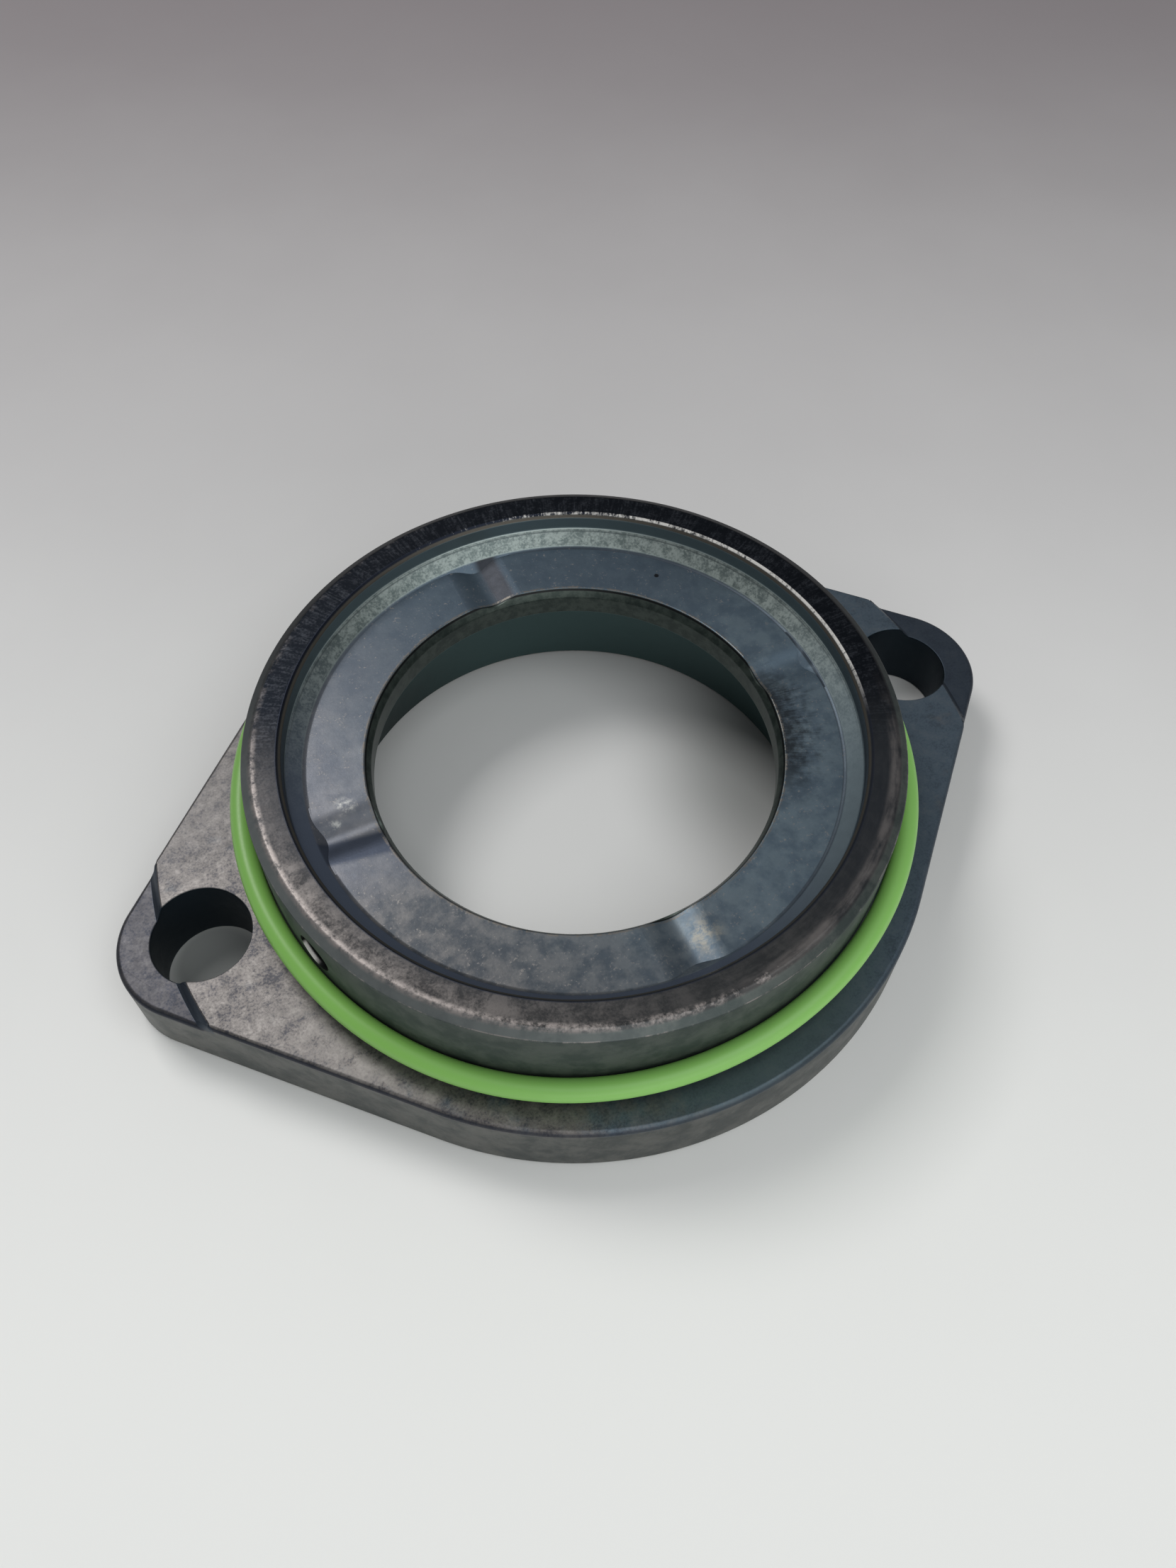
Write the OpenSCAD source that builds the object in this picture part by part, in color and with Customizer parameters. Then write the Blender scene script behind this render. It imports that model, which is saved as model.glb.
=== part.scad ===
// Two-bolt seal flange with its o-ring.
// The flange is one piece: a round plate with two bolt ears, a short spigot, a stepped bore and a
// thrust ledge with oil grooves. The ring is a separate elastic piece stretched round the spigot.
// The axis is Z, the bolt line is X and the underside lies on Z = 0.

/* [Spigot] */
// Outside diameter of the spigot
spigot_d = 58; // [40:0.5:90]
// Height of the spigot above the flange face
spigot_h = 10.1; // [8:0.1:20]
// Width of the bevel round the top of the spigot
rim_bevel_w = 0.95; // [0.3:0.05:1.2]
// Height of the same bevel
rim_bevel_h = 0.6; // [0.3:0.05:1.2]

/* [Top pocket] */
// Wall between the spigot's outside and the pocket
rim_wall = 3.5; // [2.5:0.1:6]
// Height of the pocket's straight wall
pocket_wall_h = 1.75; // [1:0.05:4]
// Edge break at the mouth of the pocket
pocket_break = 0.4; // [0.1:0.05:0.8]
// Width of the cone between the pocket wall and the ledge
cone_w = 1.55; // [0.5:0.05:3]
// Height of the same cone
cone_h = 1.25; // [0.5:0.05:2]

/* [Thrust ledge and bore] */
// Width of the flat ledge, from the cone to the bore
ledge_w = 5.25; // [3:0.05:7]
// Thickness of the web under the ledge
web_t = 2.9; // [2.7:0.1:4.5]
// Width of the bevel at the top of the bore
bore_bevel_w = 0.5; // [0.2:0.05:1]
// Height of the same bevel
bore_bevel_h = 0.9; // [0.2:0.05:1.2]
// Wall between the spigot's outside and the recess under the web
skirt_wall = 6.5; // [5:0.1:9]

/* [Oil ways] */
// Number of oil grooves across the ledge
groove_n = 4; // [2:1:6]
// Width of an oil groove at the ledge
groove_w = 5; // [2:0.1:6]
// Depth of an oil groove
groove_depth = 0.55; // [0.2:0.05:1]
// Diameter of the hole drilled into the side of the spigot
side_hole_d = 3.6; // [1:0.1:4]
// Depth of that hole
side_hole_depth = 3.8; // [2:0.1:4]
// Direction of that hole, turned from the bolt line
side_hole_angle = 198; // [182:1:240]

/* [Flange] */
// Thickness of the flange at its raised face
flange_t = 7.5; // [6:0.1:14]
// Width of the flange face round the spigot
face_margin = 4; // [3:0.1:8]
// Diameter of the bolt holes
bolt_hole_d = 9; // [6:0.1:11]
// Distance of the bolt centres beyond the round edge
bolt_offset = 3; // [2:0.1:8]
// Metal round a bolt hole
ear_wall = 3; // [2.5:0.1:6]
// Drop of the ear tips below the raised face
ear_step = 0.85; // [0.3:0.05:2]
// Distance of the step beyond the bolt centres
step_offset = 2.9; // [1:0.1:4]
// Width of the slope at the step
step_run = 0.5; // [0.2:0.05:1]
// Edge break along the upper edge of the plate
edge_break = 0.4; // [0.1:0.05:0.8]
// Edge break along the lower edge of the plate
foot_break = 0.3; // [0.1:0.05:0.8]

/* [O-ring] */
// Section diameter of the ring
ring_section = 2; // [1.6:0.1:3.5]
// Height of the ring's centre above the flange face
ring_height = 3.3; // [1.8:0.1:5]
// Clearance between the ring and the spigot
ring_clearance = 0.08; // [0.02:0.01:0.3]

/* [Hidden] */
$fn = 96;
// Overlap that lets a cut pass cleanly through a face
over = 1;
// Depth of the straight edges inside their tangents, so that the faces cross cleanly
edge_sink = 0.02;

// Radii about the axis
spigot_r = spigot_d / 2;
pocket_r = spigot_r - rim_wall;
ledge_r = pocket_r - cone_w;
bore_mouth_r = ledge_r - ledge_w;
bore_r = bore_mouth_r - bore_bevel_w;
recess_r = spigot_r - skirt_wall;
flange_r = spigot_r + face_margin;
bolt_r = flange_r + bolt_offset;
ear_r = bolt_hole_d / 2 + ear_wall;
step_r = bolt_r + step_offset;

// Heights above the underside
tip_t = flange_t - ear_step;
rim_z = flange_t + spigot_h;
wall_foot_z = rim_z - pocket_wall_h;
ledge_z = wall_foot_z - cone_h;
web_z = ledge_z - web_t;
ring_z = flange_t + ring_height;

// Direction of the points where the straight edges touch the round and the ears, and their length
edge_angle = acos((flange_r - ear_r) / bolt_r);
edge_len = bolt_r * sin(edge_angle);

// Radius of the cutter that leaves a groove of the given width and depth
groove_r = (groove_w * groove_w / 4 + groove_depth * groove_depth) / (2 * groove_depth);

// Plate with the two-eared outline
module eared_plate() {
  round_x = (flange_r - edge_sink) * cos(edge_angle);
  round_y = (flange_r - edge_sink) * sin(edge_angle);
  ear_x = bolt_r + (ear_r - edge_sink) * cos(edge_angle);
  ear_y = (ear_r - edge_sink) * sin(edge_angle);
  linear_extrude(height = flange_t) {
    circle(flange_r);
    for (side = [-1, 1]) {
      translate([side * bolt_r, 0]) circle(ear_r);
      polygon([
        [0, 0],
        [side * round_x, round_y],
        [side * ear_x, ear_y],
        [side * ear_x, -ear_y],
        [side * round_x, -round_y]
      ]);
    }
  }
}

// Section cut away along an upper edge
module upper_break(reach, top) {
  polygon([
    [reach - edge_break - over, top + over],
    [reach + over, top - edge_break - over],
    [reach + over, top + over]
  ]);
}

// Section cut away along the lower edge
module lower_break(reach) {
  polygon([
    [reach - foot_break - over, -over],
    [reach + over, -over],
    [reach + over, foot_break + over]
  ]);
}

// Carries a section along one straight edge and a little past both its ends
module along_edge() {
  lap = 2;
  rotate([0, 0, edge_angle])
    rotate([90, 0, 0])
      translate([0, 0, -lap])
        linear_extrude(height = edge_len + 2 * lap) children();
}

// Edge breaks round the whole plate
module edge_breaks() {
  for (side = [0, 180])
    rotate([0, 0, side]) {
      rotate([0, 0, edge_angle])
        rotate_extrude(angle = 180 - 2 * edge_angle) {
          upper_break(flange_r, flange_t);
          lower_break(flange_r);
        }
      translate([bolt_r, 0, 0])
        rotate([0, 0, -edge_angle])
          rotate_extrude(angle = 2 * edge_angle) {
            upper_break(ear_r, tip_t);
            lower_break(ear_r);
          }
      for (flip = [0, 1])
        mirror([0, flip, 0]) {
          along_edge() upper_break(flange_r - edge_sink, flange_t);
          along_edge() lower_break(flange_r - edge_sink);
          difference() {
            along_edge() upper_break(flange_r - edge_sink, tip_t);
            cylinder(h = flange_t + 2 * over, r = step_r + step_run / 2);
          }
        }
    }
}

// Space outside the step, where the ear tips lie lower
module tip_cut() {
  tip_reach = bolt_r + ear_r + over;
  rotate_extrude()
    polygon([
      [step_r + step_run / 2, tip_t],
      [tip_reach, tip_t],
      [tip_reach, flange_t + over],
      [step_r - step_run / 2 - over * step_run / ear_step, flange_t + over]
    ]);
}

// Outside of the spigot
module spigot_body() {
  rotate_extrude()
    polygon([
      [0, over],
      [spigot_r, over],
      [spigot_r, rim_z - rim_bevel_h],
      [spigot_r - rim_bevel_w, rim_z],
      [0, rim_z]
    ]);
}

// Everything that is turned out along the axis
module turned_inside() {
  rotate_extrude()
    polygon([
      [0, -over],
      [recess_r, -over],
      [recess_r, web_z],
      [bore_r, web_z],
      [bore_r, ledge_z - bore_bevel_h],
      [bore_mouth_r, ledge_z],
      [ledge_r, ledge_z],
      [pocket_r, wall_foot_z],
      [pocket_r, rim_z - pocket_break],
      [pocket_r + pocket_break, rim_z],
      [pocket_r + pocket_break, rim_z + over],
      [0, rim_z + over]
    ]);
}

// Room that the grooves may take: inside the pocket's cone, carried on below the ledge
module groove_room() {
  cone_slope = cone_w / cone_h;
  low = groove_depth + over;
  rotate_extrude()
    polygon([
      [0, ledge_z - low],
      [ledge_r - low * cone_slope, ledge_z - low],
      [pocket_r, wall_foot_z],
      [0, wall_foot_z]
    ]);
}

// Shallow round-bottomed grooves from the bore to the cone
module oil_grooves() {
  intersection() {
    groove_room();
    for (i = [0 : groove_n - 1])
      rotate([0, 0, i * 360 / groove_n])
        translate([0, 0, ledge_z - groove_depth + groove_r])
          rotate([0, 90, 0])
            cylinder(h = pocket_r, r = groove_r);
  }
}

// Hole drilled into the side of the spigot at the height of the web
module side_hole() {
  rotate([0, 0, side_hole_angle])
    translate([spigot_r - side_hole_depth, 0, ledge_z - web_t / 2])
      rotate([0, 90, 0])
        cylinder(h = side_hole_depth + over, d = side_hole_d);
}

// Bolt holes through both ears
module bolt_holes() {
  for (side = [-1, 1])
    translate([side * bolt_r, 0, -over])
      cylinder(h = flange_t + 2 * over, d = bolt_hole_d);
}

// The one-piece flange
module flange() {
  color([0.27, 0.29, 0.31])
    difference() {
      union() {
        eared_plate();
        spigot_body();
      }
      tip_cut();
      edge_breaks();
      turned_inside();
      oil_grooves();
      side_hole();
      bolt_holes();
    }
}

// The elastic ring round the spigot
module o_ring() {
  color([0.49, 0.71, 0.39])
    translate([0, 0, ring_z])
      rotate_extrude()
        translate([spigot_r + ring_clearance + ring_section / 2, 0])
          circle(d = ring_section);
}

flange();
o_ring();
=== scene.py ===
"""Seal flange with its o-ring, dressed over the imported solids."""

import math

import bmesh
import bpy
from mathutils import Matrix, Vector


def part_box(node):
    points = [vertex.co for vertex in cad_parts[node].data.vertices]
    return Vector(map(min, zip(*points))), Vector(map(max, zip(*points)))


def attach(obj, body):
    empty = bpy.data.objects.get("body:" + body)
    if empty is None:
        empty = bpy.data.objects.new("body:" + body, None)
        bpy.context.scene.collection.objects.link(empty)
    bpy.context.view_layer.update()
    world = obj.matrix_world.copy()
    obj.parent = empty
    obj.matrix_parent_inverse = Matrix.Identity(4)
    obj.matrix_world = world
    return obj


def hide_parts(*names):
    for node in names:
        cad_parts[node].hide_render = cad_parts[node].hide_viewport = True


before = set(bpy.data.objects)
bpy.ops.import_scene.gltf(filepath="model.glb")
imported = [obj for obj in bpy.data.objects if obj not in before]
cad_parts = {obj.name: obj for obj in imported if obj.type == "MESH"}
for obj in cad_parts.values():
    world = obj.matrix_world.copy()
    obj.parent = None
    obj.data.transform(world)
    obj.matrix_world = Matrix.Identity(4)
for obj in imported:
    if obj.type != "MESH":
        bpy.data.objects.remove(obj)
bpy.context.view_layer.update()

bl_info = {
    "name": "Seal flange",
    "version": (1, 0, 0),
    "blender": (4, 5, 0),
    "location": "View3D > Sidebar > Seal flange",
    "description": "Builds an eared seal flange with its o-ring and a plain stage",
    "category": "Object",
}

MM = 0.001
MM_PER_M = 1000.0
ROUND_STEPS = 256
# Points closer than this, in metres, are one
MERGE = 1e-6
# Faces that meet at less than this, in degrees, are one flat face
FLAT_ANGLE = 0.3
# Length by which a cutter stands out past what it cuts
OVER = MM

# Camera of the photograph: place in metres, turn in radians, lens and sensor in millimetres
CAMERA_PLACE = (-0.027404, -0.059764, 0.108705)
CAMERA_TURN = (0.58014, -0.00815, -0.43564)
CAMERA_LENS = 29.54
SENSOR_HEIGHT = 36.0
# Soft lights: name, place, size, radiance and colour
LAMPS = (
    ("key", (-0.13, 0.32, 0.50), (0.22, 0.22), 10.2, (1.0, 0.985, 0.97)),
    ("front", (0.08, -0.25, 0.55), (0.50, 0.45), 1.9, (0.97, 1.0, 1.0)),
    ("low", (-0.05, -0.55, 0.20), (0.60, 0.25), 2.0, (1.0, 1.0, 0.98)),
)
SKY_COLOUR = (0.96, 0.98, 1.0, 1.0)
SKY_STRENGTH = 0.24
# The floor lies this far below the underside, so that the two faces don't flicker
FLOOR_GAP = 0.02 * MM
FLOOR_SIZE = 3.0

FLANGE_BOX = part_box("flange")
RING_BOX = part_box("o_ring")


def length(name, description, default_mm):
    """A size in metres, given in millimetres."""
    return bpy.props.FloatProperty(
        name=name, description=description, default=default_mm * MM, unit="LENGTH", subtype="DISTANCE",
        precision=5,
    )


def colour(name, description, default):
    """A linear colour."""
    return bpy.props.FloatVectorProperty(
        name=name, description=description, default=default, subtype="COLOR", size=3, min=0.0, max=1.0
    )


class FlangeSizes(bpy.types.PropertyGroup):
    """Sizes of the flange, the same as those of the solids"""

    spigot_r: length("Spigot radius", "Outside radius of the spigot", 29.0)
    rim_z: length("Rim height", "Height of the rim above the underside", FLANGE_BOX[1][2] / MM)
    rim_bevel_w: length("Rim bevel width", "Width of the bevel round the rim", 0.95)
    rim_bevel_h: length("Rim bevel height", "Height of the same bevel", 0.6)
    pocket_r: length("Pocket radius", "Radius of the top pocket", 25.5)
    pocket_break: length("Pocket edge break", "Edge break at the mouth of the pocket", 0.4)
    wall_foot_z: length("Pocket wall foot", "Height of the foot of the pocket wall", 15.85)
    ledge_r: length("Ledge radius", "Outer radius of the thrust ledge", 23.95)
    ledge_z: length("Ledge height", "Height of the thrust ledge", 14.6)
    bore_mouth_r: length("Bore mouth radius", "Radius of the bore at the ledge", 18.7)
    bore_r: length("Bore radius", "Radius of the bore's land", 18.2)
    bore_bevel_h: length("Bore bevel height", "Height of the bevel at the bore's mouth", 0.9)
    web_z: length("Web height", "Height of the web's underside", 11.7)
    recess_r: length("Recess radius", "Radius of the recess under the web", 22.5)
    groove_w: length("Groove width", "Width of an oil groove at the ledge", 5.0)
    groove_depth: length("Groove depth", "Depth of an oil groove", 0.55)
    side_hole_r: length("Side hole radius", "Radius of the hole in the spigot's side", 1.8)
    side_hole_depth: length("Side hole depth", "Depth of that hole", 3.8)
    side_hole_turn: bpy.props.FloatProperty(
        name="Side hole direction", description="Direction of that hole from the bolt line",
        default=math.radians(198.0), unit="ROTATION", subtype="ANGLE",
    )
    plate_t: length("Plate thickness", "Thickness of the plate at its raised face", 7.5)
    tip_t: length("Ear tip thickness", "Thickness of the ear tips", 6.65)
    plate_r: length("Plate radius", "Radius of the round part of the plate", FLANGE_BOX[1][1] / MM)
    ear_r: length("Ear radius", "Radius of the ears", 7.5)
    bolt_x: length("Bolt distance", "Distance of a bolt hole from the axis", 36.0)
    bolt_hole_r: length("Bolt hole radius", "Radius of the bolt holes", 4.5)
    step_r: length("Step radius", "Radius of the step to the ear tips", 38.9)
    top_round: length("Top rounding", "Rounding of the plate's upper edge", 0.5)
    foot_round: length("Foot rounding", "Rounding of the plate's lower edge", 0.35)
    hole_round: length("Hole rounding", "Rounding of the bolt holes' edges", 0.16)


class RingSizes(bpy.types.PropertyGroup):
    """Sizes of the o-ring"""

    section: length("Section", "Diameter of the ring's section", (RING_BOX[1][2] - RING_BOX[0][2]) / MM)
    outer_r: length("Outer radius", "Outer radius of the fitted ring", RING_BOX[1][0] / MM)
    height: length("Height", "Mean height of the ring's centre", (RING_BOX[0][2] + RING_BOX[1][2]) / 2 / MM)
    lift: length("Lift", "How far most of the ring lies above its mean height", 0.55)
    sag: length("Sag", "How far the ring hangs below that at its lowest place", 1.65)
    sag_reach: length("Sag reach", "Distance along the ring over which it hangs", 34.0)
    sag_turn: bpy.props.FloatProperty(
        name="Sag direction", description="Direction of the lowest place from the bolt line",
        default=math.radians(232.0), unit="ROTATION", subtype="ANGLE",
    )


class FinishColours(bpy.types.PropertyGroup):
    """Main colours of the finishes"""

    slate: colour("Slate oxide", "Blue-grey of the oxide skin", (0.079, 0.108, 0.139))
    brown: colour("Warm oxide", "Grey-brown of the oxide skin", (0.122, 0.113, 0.110))
    pale: colour("Pale flecks", "Worn light flecks of the skin", (0.250, 0.236, 0.226))
    dark: colour("Dark oxide", "Blue-black of edges and pits", (0.018, 0.022, 0.034))
    # Also the colour of the painted highlight on the side hole's lip
    bright: colour("Bare metal", "Bare metal on burrs and nicks", (0.640, 0.625, 0.600))
    rubber: colour("Rubber", "Green of the ring", (0.235, 0.520, 0.112))
    floor: colour("Floor", "Pale floor", (0.840, 0.845, 0.830))


def clear_selection():
    """Object mode with nothing selected."""
    if bpy.context.mode != "OBJECT":
        bpy.ops.object.mode_set(mode="OBJECT")
    bpy.ops.object.select_all(action="DESELECT")


def work_on(piece):
    """Edit mode on one piece with nothing in it selected."""
    clear_selection()
    piece.select_set(True)
    bpy.context.view_layer.objects.active = piece
    bpy.ops.object.mode_set(mode="EDIT")
    bpy.ops.mesh.select_all(action="DESELECT")


def pick_points(piece, wanted):
    """Selects the vertices that a test takes, in edit mode."""
    bpy.context.tool_settings.mesh_select_mode = (True, False, False)
    mesh = bmesh.from_edit_mesh(piece.data)
    for vert in mesh.verts:
        vert.select_set(bool(wanted(vert.co)))
    mesh.select_flush_mode()
    bmesh.update_edit_mesh(piece.data)


def pick_edges(piece, wanted):
    """Selects the edges that a test takes, in edit mode, and returns how many."""
    bpy.context.tool_settings.mesh_select_mode = (False, True, False)
    mesh = bmesh.from_edit_mesh(piece.data)
    mesh.normal_update()
    found = 0
    for edge in mesh.edges:
        take = bool(wanted(edge))
        edge.select_set(take)
        found += take
    mesh.select_flush_mode()
    bmesh.update_edit_mesh(piece.data)
    return found


def merge_all():
    """Joins points that coincide in edit mode and turns the faces outwards."""
    bpy.ops.mesh.select_all(action="SELECT")
    bpy.ops.mesh.remove_doubles(threshold=MERGE)
    bpy.ops.mesh.normals_make_consistent(inside=False)


def drawn(name, points):
    """A flat outline drawn point by point and filled; it is left in edit mode."""
    clear_selection()
    bpy.ops.mesh.primitive_plane_add(size=MM)
    piece = bpy.context.active_object
    piece.name = name
    bpy.ops.object.mode_set(mode="EDIT")
    bpy.context.tool_settings.mesh_select_mode = (True, False, False)
    bpy.ops.mesh.select_all(action="SELECT")
    bpy.ops.mesh.merge(type="CENTER")
    bpy.ops.transform.translate(value=points[0])
    for last, point in zip(points, points[1:]):
        bpy.ops.mesh.extrude_region_move(
            TRANSFORM_OT_translate={"value": tuple(b - a for a, b in zip(last, point))}
        )
    bpy.ops.mesh.select_all(action="SELECT")
    bpy.ops.mesh.edge_face_add()
    return piece


def spun(name, corners):
    """A turned shape: its section is drawn corner by corner, the corners are rounded, and it is spun.

    corners are (radius, height, rounding). A section that starts and ends on the axis is left open there.
    """
    piece = drawn(name, [(radius, 0.0, height) for radius, height, _ in corners])
    for rounding in sorted({corner[2] for corner in corners if corner[2] > 0}):
        places = [(radius, height) for radius, height, own in corners if own == rounding]
        pick_points(
            piece, lambda co: any(math.hypot(co.x - r, co.z - z) < 2 * MERGE for r, z in places)
        )
        bpy.ops.mesh.bevel(offset=rounding, segments=4, profile=0.5, affect="VERTICES")
    bpy.ops.mesh.select_all(action="SELECT")
    bpy.ops.mesh.delete(type="ONLY_FACE")
    if corners[0][0] == 0 and corners[-1][0] == 0:
        pick_edges(piece, lambda edge: all(abs(vert.co.x) < MERGE / 10 for vert in edge.verts))
        bpy.ops.mesh.delete(type="EDGE_FACE")
    bpy.ops.mesh.select_all(action="SELECT")
    bpy.ops.mesh.spin(steps=ROUND_STEPS, angle=math.tau, center=(0, 0, 0), axis=(0, 0, 1))
    merge_all()
    bpy.ops.object.mode_set(mode="OBJECT")
    return piece


def settle(piece):
    """Puts a piece's place and turn into its mesh."""
    clear_selection()
    piece.select_set(True)
    bpy.context.view_layer.objects.active = piece
    bpy.ops.object.transform_apply(location=True, rotation=True, scale=True)


def combine(piece, other, operation):
    """Joins, cuts or trims a piece by another, which is used up."""
    clear_selection()
    piece.select_set(True)
    bpy.context.view_layer.objects.active = piece
    bpy.ops.object.modifier_add(type="BOOLEAN")
    modifier = piece.modifiers[-1]
    modifier.operation = operation
    modifier.solver = "EXACT"
    modifier.object = other
    bpy.ops.object.modifier_apply(modifier=modifier.name)
    bpy.data.objects.remove(other, do_unlink=True)
    if not piece.data.polygons:
        raise RuntimeError(f"Nothing is left of {piece.name}.")


def rods(name, radius, depth, places, points=96):
    """Round rods in one mesh, each at its (location, turn)."""
    clear_selection()
    for index, (location, turn) in enumerate(places):
        bpy.ops.mesh.primitive_cylinder_add(
            vertices=points, radius=radius, depth=depth, location=location, rotation=turn
        )
        rod = bpy.context.active_object
        settle(rod)
        if index == 0:
            first = rod
            continue
        first.select_set(True)
        bpy.context.view_layer.objects.active = first
        bpy.ops.object.join()
    first.name = name
    return first


def smooth(piece, angle):
    """Smooth shading up to an angle, with flat faces kept flat."""
    clear_selection()
    piece.select_set(True)
    bpy.context.view_layer.objects.active = piece
    bpy.ops.object.shade_smooth_by_angle(angle=math.radians(angle))
    bpy.ops.object.modifier_add(type="WEIGHTED_NORMAL")
    modifier = piece.modifiers[-1]
    modifier.keep_sharp = True
    modifier.weight = 90
    bpy.ops.object.modifier_apply(modifier=modifier.name)


def dress(piece, material, node):
    """Gives a piece its material, hides the imported solid of its node, and hangs the piece on its body."""
    piece.data.materials.clear()
    piece.data.materials.append(material)
    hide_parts(node)
    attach(piece, "root")


class Millimetres:
    """A group of sizes, read in millimetres."""

    def __init__(self, sizes):
        self.sizes = sizes

    def __getattr__(self, name):
        return getattr(self.sizes, name) / MM


class Value:
    """A socket of a finish; arithmetic on it adds Math nodes."""

    def __init__(self, finish, socket):
        self.finish = finish
        self.socket = socket

    def math(self, operation, *inputs):
        """The result of a Math node on the inputs."""
        return self.finish.node("ShaderNodeMath", {"operation": operation}, dict(enumerate(inputs)))

    def most(self, other):
        """The larger of two values."""
        return self.math("MAXIMUM", self, other)

    def __abs__(self):
        return self.math("ABSOLUTE", self)

    def __add__(self, other):
        return self.math("ADD", self, other)

    __radd__ = __add__

    def __sub__(self, other):
        return self.math("SUBTRACT", self, other)

    def __rsub__(self, other):
        return self.math("SUBTRACT", other, self)

    def __mul__(self, other):
        return self.math("MULTIPLY", self, other)

    __rmul__ = __mul__

    def __truediv__(self, other):
        return self.math("DIVIDE", self, other)

    def __rtruediv__(self, other):
        return self.math("DIVIDE", other, self)

    def __pow__(self, other):
        return self.math("POWER", self, other)

    def __rpow__(self, other):
        return self.math("POWER", other, self)


class Finish:
    """A material under construction, with its places and lengths in millimetres."""

    def __init__(self, name):
        self.material = bpy.data.materials.new(name)
        self.material.use_nodes = True
        self.tree = self.material.node_tree
        self.shader = self.tree.nodes["Principled BSDF"]
        self.place = self.node("ShaderNodeTexCoord", output="Object")
        self.x, self.y, self.z = (
            self.node("ShaderNodeSeparateXYZ", None, {0: self.place}, axis) * MM_PER_M for axis in range(3)
        )

    def node(self, kind, settings=None, inputs=None, output=0):
        """Adds a node, sets it up, fills its sockets and returns one of its outputs."""
        node = self.tree.nodes.new(kind)
        for name, value in (settings or {}).items():
            setattr(node, name, value)
        for name, value in (inputs or {}).items():
            self.fill(node.inputs[name], value)
        return Value(self, node.outputs[output])

    def fill(self, socket, value):
        """Links a value to a socket, or sets the socket to a number or colour."""
        if isinstance(value, Value):
            self.tree.links.new(value.socket, socket)
        elif socket.type == "RGBA" and len(value) == 3:
            socket.default_value = (*value, 1.0)
        else:
            socket.default_value = value

    def coat(self, **sockets):
        """Fills sockets of the shader, named with underscores for spaces."""
        for name, value in sockets.items():
            self.fill(self.shader.inputs[name.replace("_", " ")], value)

    def noise(self, size, detail=3.0, roughness=0.55, distortion=0.0, place=None):
        """Soft noise with features of about the given size."""
        return self.node("ShaderNodeTexNoise", None, {
            "Vector": place or self.place,
            "Scale": MM_PER_M / size,
            "Detail": detail,
            "Roughness": roughness,
            "Distortion": distortion,
        })

    def band(self, value, low, high):
        """0 below low, 1 above high, and smooth between; low may be the larger."""
        return self.node(
            "ShaderNodeMapRange", {"interpolation_type": "SMOOTHSTEP"},
            {"Value": value, "From Min": low, "From Max": high, "To Min": 0.0, "To Max": 1.0},
        )

    def near(self, value, middle, half, soft):
        """1 within half of the middle, 0 further than half and soft."""
        return self.band(abs(value - middle), half + soft, half)

    def spot(self, at, radius, soft):
        """1 inside a round spot of the plan, 0 further out than radius and soft."""
        gap = ((self.x - at[0]) ** 2.0 + (self.y - at[1]) ** 2.0) ** 0.5
        return self.band(gap, radius + soft, radius)

    def mix(self, factor, first, second):
        """Mixes two colours."""
        return self.node(
            "ShaderNodeMix", {"data_type": "RGBA", "clamp_factor": True},
            {0: factor, 6: first, 7: second}, output=2,
        )

    def bump(self, height, strength, distance):
        """A normal bumped by a height."""
        return self.node(
            "ShaderNodeBump", None, {"Strength": strength, "Distance": distance * MM, "Height": height}
        )


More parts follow.
